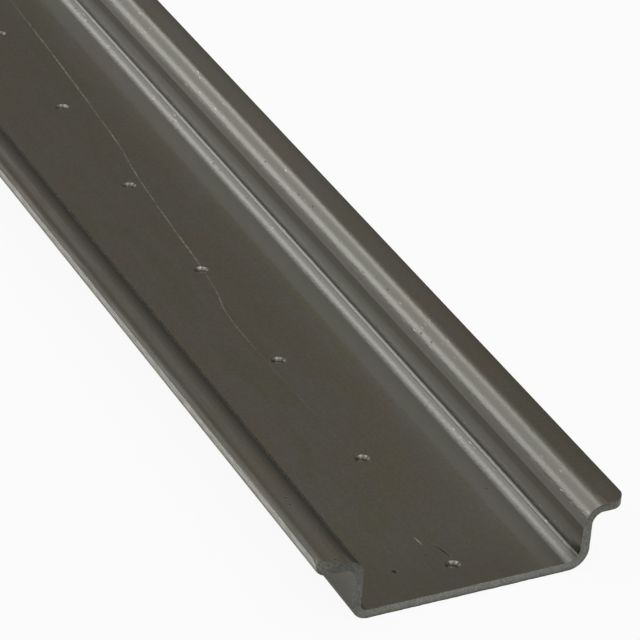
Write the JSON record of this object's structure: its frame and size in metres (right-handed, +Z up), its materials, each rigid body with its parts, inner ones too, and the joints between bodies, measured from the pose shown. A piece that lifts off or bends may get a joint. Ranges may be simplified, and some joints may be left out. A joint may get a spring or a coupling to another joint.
{
  "type": "din rail",
  "caption": "Top-hat mounting rail roll-formed from steel strip: a flat channel with two outward lips that modular switchgear clips over, and a row of drill marks along its web.",
  "frame": {"origin": "middle of the web's underside, half-way along the rail", "axes": "+X across the rail, +Y along its length away from the end nearest the camera, +Z up from the web towards the lips"},
  "size_m": [0.035, 0.9999, 0.0075],
  "materials": {
    "bare_steel": "dark mill finish, slightly oily, with faint drawing streaks along the length"
  },
  "bodies": {
    "root": {"din_rail": "bare_steel"}
  },
  "joints": []
}
